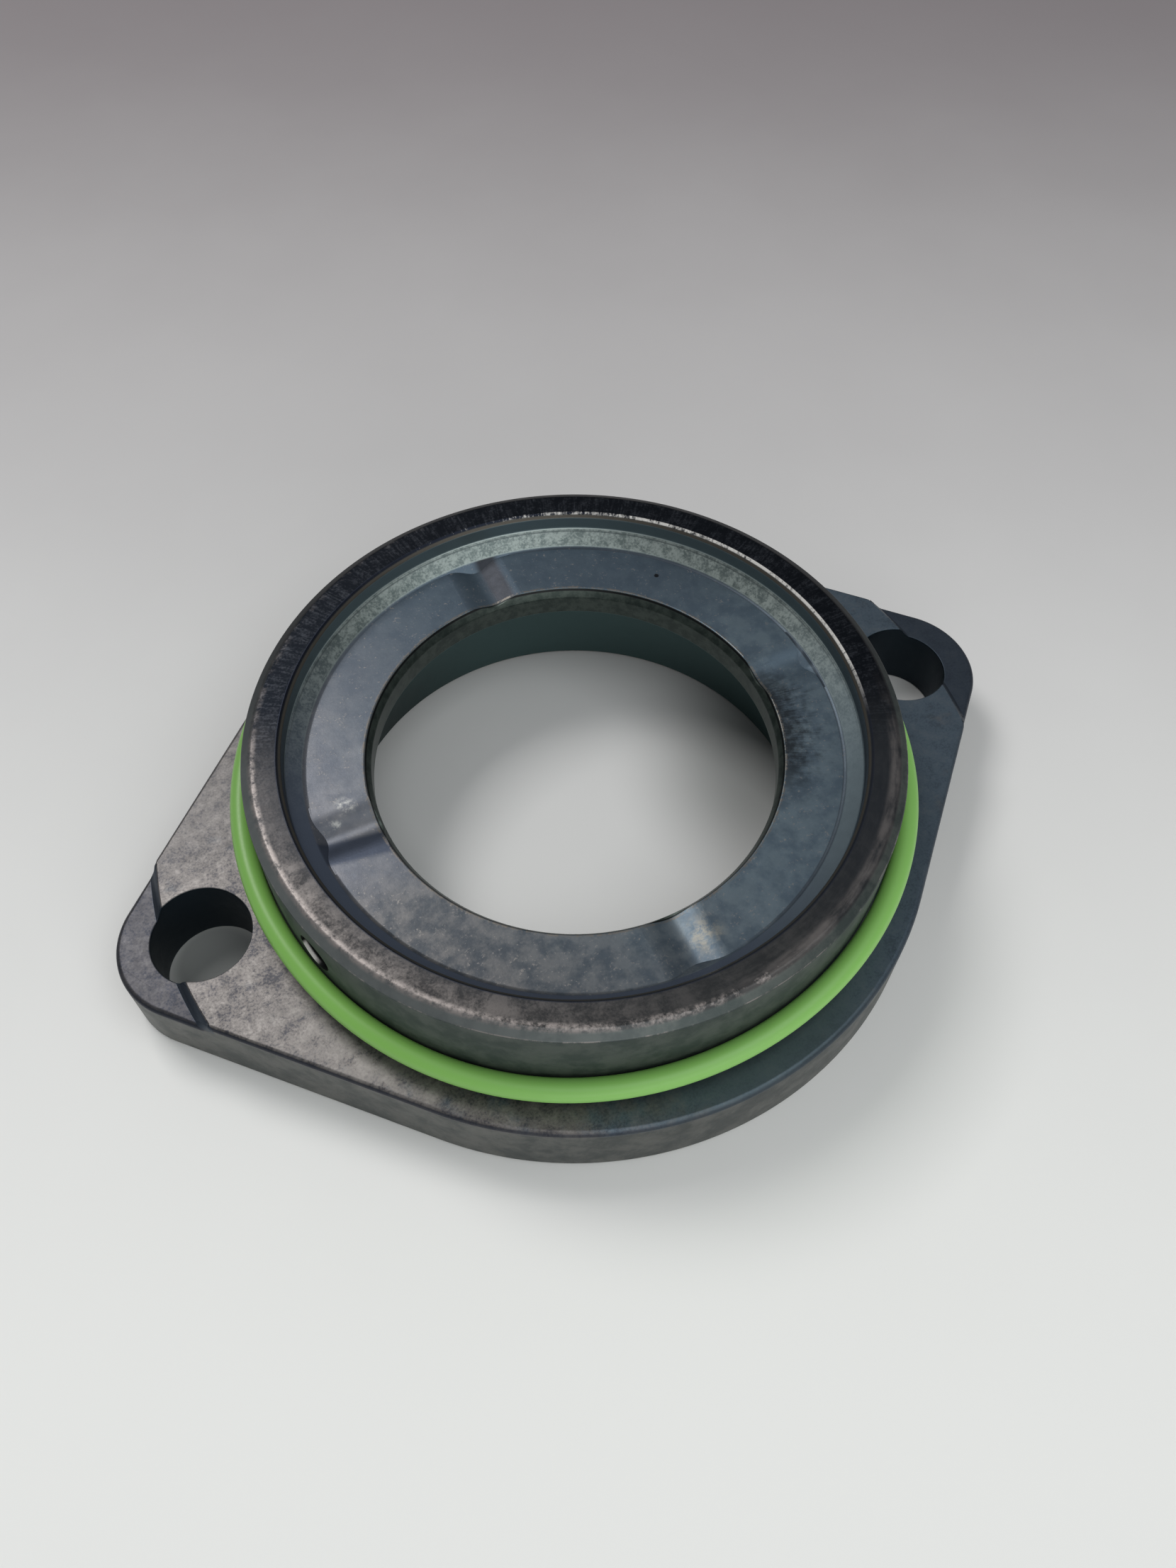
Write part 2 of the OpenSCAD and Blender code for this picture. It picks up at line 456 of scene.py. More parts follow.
class Shade:
    """Linear colours of single zones and marks, painted highlights and painted shade among them; a pair is
    mixed by a pattern or from side to side.
    """

    EAR_FAR = (0.092, 0.090, 0.092)
    FACE_NEAR = (0.062, 0.084, 0.090)
    PLATE_WALL = (0.048, 0.056, 0.053), (0.110, 0.113, 0.104)
    STEP = (0.036, 0.048, 0.066)
    BOLT_HOLE_SHADE = (0.012, 0.022, 0.032)

    SPIGOT_WALL = (0.052, 0.066, 0.064), (0.092, 0.106, 0.100)
    SIDE_HOLE_SHADE = (0.006, 0.007, 0.008)
    RIM_WORN = (0.028, 0.027, 0.028), (0.150, 0.137, 0.132)
    RIM_DULL = (0.025, 0.027, 0.029), (0.049, 0.049, 0.050)
    RIM_HAIRS = (0.007, 0.009, 0.013), (0.036, 0.040, 0.049)
    RIM_RIGHT = (0.020, 0.024, 0.031)
    RIM_INNER = (0.030, 0.032, 0.037)
    RIM_LEFT = (0.024, 0.026, 0.031)
    RIM_EDGE = (0.300, 0.270, 0.258)
    BEVEL_LEFT_REFLECTION = (0.200, 0.215, 0.220)
    BEVEL_FAR_SHADE = (0.012, 0.013, 0.016)

    POCKET_MOUTH = (0.075, 0.068, 0.058)
    POCKET_WALL = (0.040, 0.050, 0.066), (0.145, 0.195, 0.212)
    WALL_FOOT_HIGHLIGHT = (0.400, 0.470, 0.460)
    CONE_NEAR = (0.096, 0.118, 0.164), (0.152, 0.196, 0.220)
    CONE_FAR_SPECKLED_SHEEN = (0.105, 0.132, 0.130), (0.260, 0.300, 0.288)
    CONE_TOP_SHADE = (0.060, 0.075, 0.078)
    CONE_FOOT_HIGHLIGHT = (0.340, 0.400, 0.390)

    LEDGE_TEAL = (0.088, 0.124, 0.160), (0.130, 0.174, 0.208)
    LEDGE_FAR = (0.060, 0.084, 0.112)
    LEDGE_EVEN = (0.094, 0.102, 0.122), (0.136, 0.139, 0.154)
    LEDGE_BLOTCHED = (0.056, 0.064, 0.075), (0.126, 0.125, 0.128)
    LEDGE_EDGE_RIGHT_SHADE = (0.025, 0.032, 0.042)
    SOOT = (0.018, 0.022, 0.027)
    PIT = (0.008, 0.009, 0.012)
    FLAKES = (0.330, 0.335, 0.330)
    GROOVE_NEAR_HIGHLIGHT = (0.250, 0.240, 0.205)
    GROOVE_FAR_SHADE = (0.015, 0.015, 0.019)
    GROOVE_LEFT_SHADE = (0.042, 0.052, 0.076)

    BORE_LIP = (0.150, 0.135, 0.118)
    BORE_LAND = (0.030, 0.042, 0.038), (0.058, 0.074, 0.066)
    BORE_EDGE = (0.008, 0.009, 0.010)
    RECESS_AND_SHADOW = (0.066, 0.114, 0.114), (0.018, 0.026, 0.027)

    RUBBER_LIGHT = (0.250, 0.540, 0.132)
    RUBBER_LEFT_SHADE = (0.165, 0.360, 0.072)

    FLOOR_MIDDLE = (0.570, 0.565, 0.567)
    FLOOR_FAR = (0.235, 0.213, 0.223)
    FLOOR_SHADE = (0.200, 0.210, 0.205)


class Oxide(Finish):
    """Dark mottled oxide on metal, in zones that follow the flange's faces, with painted light and shade in
    some of them.
    """

    def __init__(self, sizes, colours):
        super().__init__("dark_oxide")
        self.mm = Millimetres(sizes)
        self.hole_turn = sizes.side_hole_turn
        self.colours = colours
        self.away = (self.x * self.x + self.y * self.y) ** 0.5
        self.rim_r = self.mm.spigot_r - self.mm.rim_bevel_w
        self.bevel_z = self.mm.rim_z - self.mm.rim_bevel_h
        self.mouth_z = self.mm.rim_z - self.mm.pocket_break

        # Patterns, from wide clouds to fine grain, then two that follow the turning
        self.cloud = self.noise(3.0, 5.0, 0.6)
        self.patch = self.noise(1.9, 6.0, 0.72, 0.4)
        self.blob = self.noise(1.5, 3.0, 0.55)
        self.mottle = self.noise(1.0, 6.0, 0.68)
        self.grain = self.noise(0.22, 3.0, 0.6)
        self.streak = self.noise(0.22, 3.0, 0.65, place=self.round_axis(0.026, 0.0001))
        self.turned = self.noise(0.40, 3.0, 0.6, place=self.round_axis(0.004, 0.001))

        # Sides of the flange, where the skin's own tone changes and where painted light and shade change with
        # how the lamps fall
        self.left = self.band(self.x * -0.95 - self.y * 0.1, -2.0, 30.0)
        self.far = self.band(self.y * 0.9 + self.x * 0.3, -8.0, 16.0)
        self.dark_side = self.band(self.y + self.x * 0.35, -7.0, 5.0)

        # Faces that more than one zone asks for
        self.tip = self.band(self.away, self.mm.step_r - 0.1, self.mm.step_r + 0.4)
        self.top = self.band(self.z, self.mm.rim_z - 0.25, self.mm.rim_z - 0.1)
        self.outermost = self.band(self.away, self.mm.spigot_r - 0.4, self.mm.spigot_r - 0.2)

    def round_axis(self, reach, climb):
        """Coordinates in metres that run round the axis at a reach, and climb with each millimetre away."""
        return self.node("ShaderNodeCombineXYZ", None, {
            0: self.x / self.away * reach,
            1: self.y / self.away * reach,
            2: self.away * climb,
        })

    def skin(self):
        """Upper faces of the plate: warm and light at the left ear, slate and dark at the right one, partly
        the oxide's own tone and partly painted reflection.
        """
        mix, band, left, colours = self.mix, self.band, self.left, self.colours
        pale = band(self.patch * 0.7 + self.grain * 0.3, 0.48, 0.66)
        pits = band(self.patch * 0.6 + self.grain * 0.4, 0.51, 0.39)
        # Painted highlight among worn flecks: a pale patch on the left ear beside the ring
        worn = self.spot((-27.5, -16.5), 2.0, 9.0) * band(self.mottle, 0.36, 0.60)
        # Brown at the left and slate at the right: partly the oxide's own tone, partly painted reflection
        # that lightens the left ear and darkens the right
        skin = mix(band(self.cloud * 0.6 + left * 0.32, 0.36, 0.56), colours.slate, colours.brown)
        skin = mix(pale * (0.12 + left * 0.58), skin, colours.pale)
        skin = mix(pits * (0.30 + left * 0.42), skin, colours.dark)
        skin = mix(worn * 0.5, skin, colours.pale)
        skin = mix(band(self.y, 1.0, 12.0) * left * 0.45, skin, Shade.EAR_FAR)
        skin = mix(self.spot((3.0, -31.0), 4.0, 14.0) * 0.55, skin, Shade.FACE_NEAR)
        return mix(self.tip * 0.65, skin, colours.dark)

    def plate(self):
        """Plate: upper faces, walls, dark rounded edges, step, and bolt holes with painted shade on their
        walls.
        """
        mix, band, near, mm = self.mix, self.band, self.near, self.mm
        under = mm.plate_t - self.tip * (mm.plate_t - mm.tip_t) - self.z
        wall = mix(band(self.patch * 0.5 + self.cloud * 0.5, 0.42, 0.60), *Shade.PLATE_WALL)
        edge = near(under, 0.30, 0.13, 0.10) * (0.4 + self.left * 0.5)
        step = near(self.away, mm.step_r + 0.08, 0.34, 0.10) * band(self.z, mm.tip_t - 0.2, mm.tip_t - 0.05)
        # Painted shade: the bolt holes' walls are painted near black
        to_bolt = ((abs(self.x) - mm.bolt_x) ** 2.0 + self.y * self.y) ** 0.5
        hole = band(to_bolt, mm.bolt_hole_r + 0.16, mm.bolt_hole_r + 0.08) * band(under, 0.0, 0.08)
        shade = mix(band(under, 0.45, 0.65), self.skin(), wall)
        shade = mix(edge, shade, self.colours.dark)
        shade = mix(step * 0.85, shade, Shade.STEP)
        return mix(hole, shade, Shade.BOLT_HOLE_SHADE)

    def rim(self):
        """Flat top of the spigot: worn at the near left, dark with fine hairs at the far and right side."""
        mix, band, mm = self.mix, self.band, self.mm
        worn = mix(band(self.patch * 0.7 + self.grain * 0.3, 0.38, 0.62), *Shade.RIM_WORN)
        dull = mix(band(self.turned * 0.4 + self.patch * 0.6, 0.40, 0.62), *Shade.RIM_DULL)
        dull = mix(band(self.x, 4.0, 20.0) * 0.7, dull, Shade.RIM_RIGHT)
        fine = self.streak * 0.35 + self.mottle * 0.35 + self.grain * 0.3
        hairs = mix(band(fine, 0.46, 0.64), *Shade.RIM_HAIRS)
        inner = band(self.away, mm.pocket_r + 1.7, mm.pocket_r + 0.5)
        rim = mix(self.left, dull, worn)
        rim = mix(inner * self.left * 0.5, rim, Shade.RIM_INNER)
        rim = mix(self.spot((-26.5, 5.0), 3.0, 9.0) * 0.65, rim, Shade.RIM_LEFT)
        return mix(self.dark_side, rim, hairs)

    def spigot(self):
        """Spigot over the plate: wall, rim and bevel, with painted reflection on the bevel at the left and
        painted shade on it at the far side.
        """
        mix, band, mm = self.mix, self.band, self.mm
        wall = mix(band(self.mottle * 0.4 + self.cloud * 0.6, 0.40, 0.60), *Shade.SPIGOT_WALL)
        bevel = band(self.z, self.bevel_z - 0.05, self.bevel_z + 0.05)
        bevel = bevel * band(self.away, self.rim_r - 0.05, self.rim_r + 0.10)
        shade = mix(band(self.z, mm.plate_t + 0.05, mm.plate_t + 0.2), self.plate(), wall)
        shade = mix(self.top, shade, self.rim())
        # Painted reflection lightens the bevel at the left, painted shade darkens it at the far side
        shade = mix(bevel * self.left * 0.6, shade, Shade.BEVEL_LEFT_REFLECTION)
        return mix(bevel * self.far * 0.85, shade, Shade.BEVEL_FAR_SHADE)

    def cone(self):
        """Cone at the foot of the pocket's wall: speckled, pale at the far side from painted reflection, with
        painted shade and highlight lines along its edges there.
        """
        mix, band, near, mm = self.mix, self.band, self.near, self.mm
        speckled = mix(band(self.mottle * 0.6 + self.grain * 0.4, 0.40, 0.60), *Shade.CONE_FAR_SPECKLED_SHEEN)
        # Painted light along the cone's edges at the far side: a shade line at the top, a highlight line at
        # the foot
        top_shade = near(self.z, mm.wall_foot_z - 0.19, 0.02, 0.05)
        foot_highlight = near(self.z, mm.ledge_z + 0.14, 0.02, 0.05)
        # Painted reflection: the speckled cone is pale at the far side
        cone = mix(self.far, mix(band(self.x, 0.0, 20.0), *Shade.CONE_NEAR), speckled)
        cone = mix(top_shade * self.far * 0.7, cone, Shade.CONE_TOP_SHADE)
        return mix(foot_highlight * self.far * 0.5, cone, Shade.CONE_FOOT_HIGHLIGHT)

    def ledge(self):
        """Thrust ledge: teal at the right and far side, grey and blotched at the left and near side."""
        mix, band = self.mix, self.band
        teal = mix(band(self.cloud * 0.6 + self.blob * 0.4, 0.38, 0.62), *Shade.LEDGE_TEAL)
        teal = mix(band(self.y, 4.0, 16.0) * 0.75, teal, Shade.LEDGE_FAR)
        even = mix(band(self.patch * 0.5 + self.cloud * 0.5, 0.36, 0.64), *Shade.LEDGE_EVEN)
        blotched = mix(band(self.blob * 0.8 + self.grain * 0.2, 0.36, 0.64), *Shade.LEDGE_BLOTCHED)
        grey = mix(band(self.y, -3.0, -10.0), even, blotched)
        flecks = band(self.grain * 0.6 + self.mottle * 0.4, 0.57, 0.66)
        ledge = mix(band(self.x * -0.8 - self.y * 0.25, -5.0, 20.0), teal, grey)
        return mix(flecks * 0.6, ledge, self.colours.pale)

    def marked_ledge(self):
        """The ledge with its soot, pit and flakes, painted highlight and shade on its grooves, painted shade
        on its outer edge at the right, and the speckled lip of the bore.
        """
        mix, band, near, spot, mm = self.mix, self.band, self.near, self.spot, self.mm
        ragged = self.away + (self.streak - 0.5) * 4.0 + (self.mottle - 0.5) * 9.0
        soot = spot((17.8, -5.6), 3.0, 7.0) * band(ragged, 22.6, 18.2)
        # Painted light on the grooves: a highlight on the near one, shade on the far and left ones
        near_groove_highlight = spot((1.8, -21.2), 0.2, 2.2) * band(self.mottle, 0.40, 0.60)
        far_groove_shade = near(self.x, 1.2, 0.6, 0.9) * band(self.y, 13.0, 16.0)
        left_groove_shade = near(self.y + self.x * 0.16, -5.2, 0.9, 0.7) * band(self.x, -15.0, -17.0)
        # Painted shade over the fillet at the ledge's outer edge, at the right
        right_edge_shade = near(self.away, mm.ledge_r, 0.12, 0.10) * band(self.x, 0.0, 10.0)
        flakes = spot((-20.7, 2.5), 0.35, 0.9) + spot((-22.1, 1.0), 0.25, 0.7)
        flakes = flakes * band(self.mottle * 0.8 + self.grain * 0.2, 0.44, 0.60)
        lip = near(self.away, mm.bore_mouth_r + 0.12, 0.06, 0.10)
        lip = lip * band(self.grain * 0.5 + self.mottle * 0.5, 0.42, 0.58)
        ledge = mix(soot * 0.9, self.ledge(), Shade.SOOT)
        ledge = mix(spot((15.70, 15.15), 0.16, 0.14), ledge, Shade.PIT)
        ledge = mix(near_groove_highlight * 0.85, ledge, Shade.GROOVE_NEAR_HIGHLIGHT)
        ledge = mix(far_groove_shade * 0.9, ledge, Shade.GROOVE_FAR_SHADE)
        ledge = mix(left_groove_shade, ledge, Shade.GROOVE_LEFT_SHADE)
        ledge = mix(right_edge_shade * 0.8, ledge, Shade.LEDGE_EDGE_RIGHT_SHADE)
        ledge = mix(flakes, ledge, Shade.FLAKES)
        return mix(lip * 0.8, ledge, Shade.BORE_LIP)

    def inside(self):
        """All that is turned out along the axis, from the pocket's mouth down to the recess, with a painted
        highlight at the foot of the pocket wall and painted shadow low in the recess at the left.
        """
        mix, band, near, mm, z = self.mix, self.band, self.near, self.mm, self.z
        wall = mix(self.far, *Shade.POCKET_WALL)
        # Painted highlight: a pale line at the foot of the pocket wall, at the far side
        foot_highlight = near(z, mm.wall_foot_z + 0.01, 0.03, 0.05)
        land = mix(band(self.mottle, 0.38, 0.62), *Shade.BORE_LAND)
        land = mix(near(self.away, mm.bore_mouth_r - 0.08, 0.03, 0.05), land, Shade.BORE_EDGE)
        # Painted shadow: the recess wall darkens towards the floor at the left
        recess = mix(band(self.x, 2.0, -14.0) * band(z, 9.0, 2.0) * 0.8, *Shade.RECESS_AND_SHADOW)
        inside = mix(band(z, mm.wall_foot_z + 0.07, mm.wall_foot_z - 0.05), wall, self.cone())
        inside = mix(foot_highlight * self.far * 0.8, inside, Shade.WALL_FOOT_HIGHLIGHT)
        inside = mix(band(z, mm.ledge_z + 0.20, mm.ledge_z + 0.06), inside, self.marked_ledge())
        inside = mix(band(self.away, mm.bore_mouth_r + 0.04, mm.bore_mouth_r - 0.04), inside, land)
        inside = mix(band(z, mm.web_z + 0.15, mm.web_z + 0.05), inside, recess)
        return mix(band(z, self.mouth_z - 0.05, self.mouth_z + 0.05), inside, Shade.POCKET_MOUTH)

    def worn_edges(self):
        """Where the oxide is worn through or rubbed along the two outer edges of the rim."""
        band, near, mm = self.band, self.near, self.mm
        leftward = (self.x * -0.9 - self.y * 0.35) * 0.0050
        worn = near(self.away, self.rim_r - 0.05, 0.10, 0.40) * band(self.z, mm.rim_z - 0.4, mm.rim_z - 0.2)
        worn = worn * band(self.mottle * 0.8 + self.grain * 0.2 + leftward, 0.50, 0.72)
        worn = worn * (1.0 - self.dark_side * 0.8) * band(self.x, 13.0, 4.0)
        rubbed = near(self.away, self.rim_r - 0.20, 0.20, 0.55) * band(self.z, mm.rim_z - 0.4, mm.rim_z - 0.2)
        rubbed = rubbed * band(self.turned * 0.4 + self.cloud * 0.6, 0.34, 0.62)
        rubbed = rubbed * band(self.x, -2.0, 8.0) * (1.0 - self.dark_side)
        nicks = near(self.z, self.bevel_z, 0.02, 0.05) * self.outermost
        nicks = nicks * band(self.cloud * 0.5 + self.mottle * 0.5 - self.y * 0.002, 0.55, 0.62)
        return worn.most(nicks * 0.6).most(rubbed * 0.35)

    def side_hole(self):
        """Where the side hole is, painted dark as shade, and its lower lip, which gets a painted highlight.
        """
        band, mm, z = self.band, self.mm, self.z
        height = (mm.ledge_z + mm.web_z) / 2
        foot_r = mm.spigot_r - mm.side_hole_depth
        beside = self.y * math.cos(self.hole_turn) - self.x * math.sin(self.hole_turn)
        gap = (beside ** 2.0 + (z - height) ** 2.0) ** 0.5
        hole = band(gap, mm.side_hole_r + 0.06, mm.side_hole_r + 0.01)
        hole = hole * band(self.away, foot_r - 0.2, foot_r) * band(self.x, 0.0, -5.0)
        # Painted highlight: a bright crescent on the hole's lower lip
        lip = hole * band(z, height - 0.25, height - 0.85) * band(beside, 0.3, -0.6) * self.outermost
        return hole, lip

    def paint(self):
        """Fills the shader from all the zones and returns the material."""
        mix, band, near, mm = self.mix, self.band, self.near, self.mm
        within = band(self.away, mm.pocket_r + 0.35, mm.pocket_r + 0.15) * band(self.z, 0.1, 0.4)
        mouth = near(self.away, mm.pocket_r + mm.pocket_break - 0.04, 0.07, 0.09)
        mouth = mouth * band(self.z, self.mouth_z, self.mouth_z + 0.2)
        broken = self.streak * 0.3 + self.mottle * 0.4 + self.grain * 0.3 + self.x * 0.0075
        burr = mouth * band(broken, 0.53, 0.70) * band(self.y + self.x * 0.25, -4.0, 4.0)
        hole, lip = self.side_hole()
        # Bare metal of the burr, and the painted highlight on the side hole's lip
        bare_and_glint = burr.most(lip)
        shade = mix(within, self.spigot(), self.inside())
        shade = mix(mouth * 0.8, shade, self.colours.dark)
        shade = mix(self.worn_edges(), shade, Shade.RIM_EDGE)
        # Painted shade: the side hole is painted near black inside
        shade = mix(hole, shade, Shade.SIDE_HOLE_SHADE)
        spigot_line = near(self.away, mm.spigot_r, 0.03, 0.03)
        self.coat(
            Base_Color=mix(bare_and_glint, shade, self.colours.bright),
            Metallic=0.75 + self.top * self.dark_side * 0.2 - bare_and_glint * 0.70,
            Roughness=0.34 + self.mottle * 0.20 + within * -0.04 + spigot_line * 0.18,
            Normal=self.bump(self.mottle * 0.6 + self.grain * 0.4, 0.35, 0.03),
        )
        return self.material


def rubber_finish(colours):
    """Satin green rubber, with painted shade darkening it towards the left."""
    finish = Finish("green_rubber")
    grain = finish.noise(0.3, 2.0)
    green = finish.mix(finish.noise(5.0), colours.rubber, Shade.RUBBER_LIGHT)
    # Painted shade: the ring darkens towards the left
    finish.coat(
        Base_Color=finish.mix(finish.band(finish.x, -8.0, -28.0) * 0.7, green, Shade.RUBBER_LEFT_SHADE),
        Roughness=0.36 + grain * 0.10,
        Normal=finish.bump(grain, 0.06, 0.03),
    )
    return finish.material


def floor_finish(colours):
    """Plain pale floor with painted shade that darkens it away from the viewer, and painted shadow in the
    left bolt hole and the bore.
    """
    finish = Finish("pale_floor")
    # Painted shade: the floor darkens away from the viewer
    depth = finish.x * 0.42 + finish.y * 0.91 + (finish.noise(25.0) - 0.5) * 14.0
    # Painted shadow in the left bolt hole and in the bore
    bolt_hole_shadow = finish.spot((-36.0, 1.0), 3.0, 2.5)
    bore_shadow = finish.spot((21.0, -1.0), 3.0, 14.0)
    shade = finish.mix(finish.band(depth, -60.0, 60.0), colours.floor, Shade.FLOOR_MIDDLE)
    shade = finish.mix(bolt_hole_shadow * 0.9, shade, Shade.FLOOR_SHADE)
    shade = finish.mix(bore_shadow * 0.75, shade, Shade.FLOOR_SHADE)
    finish.coat(
        Base_Color=finish.mix(finish.band(depth, 10.0, 175.0), shade, Shade.FLOOR_FAR),
        Roughness=0.75,
    )
    return finish.material


def eared_outline(sizes):
    """The plate before it is cut: a disc and two ears wrapped into one outline."""
    clear_selection()
    middle = sizes.plate_t / 2
    bpy.ops.mesh.primitive_cylinder_add(
        vertices=ROUND_STEPS, radius=sizes.plate_r, depth=sizes.plate_t, location=(0, 0, middle)
    )
    plate = bpy.context.active_object
    plate.name = "flange_body"
    settle(plate)
    bpy.ops.object.mode_set(mode="EDIT")
    for side in (-1, 1):
        bpy.ops.mesh.primitive_cylinder_add(
            vertices=128, radius=sizes.ear_r, depth=sizes.plate_t, location=(side * sizes.bolt_x, 0, middle)
        )
    bpy.ops.mesh.select_all(action="SELECT")
    bpy.ops.mesh.convex_hull()
    bpy.ops.mesh.select_all(action="SELECT")
    bpy.ops.mesh.dissolve_limited(angle_limit=math.radians(FLAT_ANGLE))
    bpy.ops.mesh.select_all(action="SELECT")
    bpy.ops.mesh.normals_make_consistent(inside=False)
    bpy.ops.object.mode_set(mode="OBJECT")
    return plate


def tip_cutter(sizes):
    """Turned cutter that leaves the ear tips lower, past a soft step."""
    low, high, step = sizes.tip_t, sizes.plate_t, sizes.step_r
    reach = sizes.bolt_x + sizes.ear_r + 2 * OVER
    return spun("tip_cutter", [
        (step - 1.76 * MM, high + OVER, 0),
        (step - 0.10 * MM, high - 0.22 * MM, 0),
        (step + 0.15 * MM, low + 0.20 * MM, 0),
        (step + 0.45 * MM, low, 0),
        (reach, low, 0),
        (reach, high + OVER, 0),
    ])


def plate_corner(edge, sizes, sign, least, at_hole):
    """Whether an edge lies between a wall of the plate and its upper or lower face."""
    slopes = sorted(face.normal.z * sign for face in edge.link_faces)
    if len(slopes) != 2 or abs(slopes[0]) > 0.02 or slopes[1] < least:
        return False
    middle = (edge.verts[0].co + edge.verts[1].co) / 2
    away = math.hypot(abs(middle.x) - sizes.bolt_x, middle.y)
    return (away < sizes.bolt_hole_r + 0.1 * MM) == at_hole


def eared_plate(sizes):
    """The plate with its lower ear tips, its bolt holes and its rounded edges."""
    plate = eared_outline(sizes)
    combine(plate, tip_cutter(sizes), "DIFFERENCE")
    bolt_holes = rods("bolt_holes", sizes.bolt_hole_r, sizes.plate_t + 2 * OVER, [
        ((side * sizes.bolt_x, 0, sizes.plate_t / 2), (0, 0, 0)) for side in (-1, 1)
    ])
    combine(plate, bolt_holes, "DIFFERENCE")
    work_on(plate)
    bpy.ops.mesh.select_all(action="SELECT")
    bpy.ops.mesh.dissolve_limited(angle_limit=math.radians(FLAT_ANGLE))
    for sign, least, at_hole, rounding, segments in (
        (1, 0.2, False, sizes.top_round, 4),
        (-1, 0.9, False, sizes.foot_round, 3),
        (1, 0.2, True, sizes.hole_round, 2),
        (-1, 0.9, True, sizes.hole_round, 2),
    ):
        if not pick_edges(plate, lambda edge: plate_corner(edge, sizes, sign, least, at_hole)):
            raise RuntimeError("An edge of the plate wasn't found.")
        bpy.ops.mesh.bevel(
            offset=rounding, segments=segments, profile=0.5, affect="EDGES", clamp_overlap=False
        )
    # Rounding can lift points a hair above the raised face, so they are pressed back to it
    pick_points(plate, lambda co: co.z > sizes.plate_t + MERGE / 10)
    bpy.ops.transform.resize(value=(1, 1, 0), center_override=(0, 0, sizes.plate_t))
    bpy.ops.object.mode_set(mode="OBJECT")
    return plate


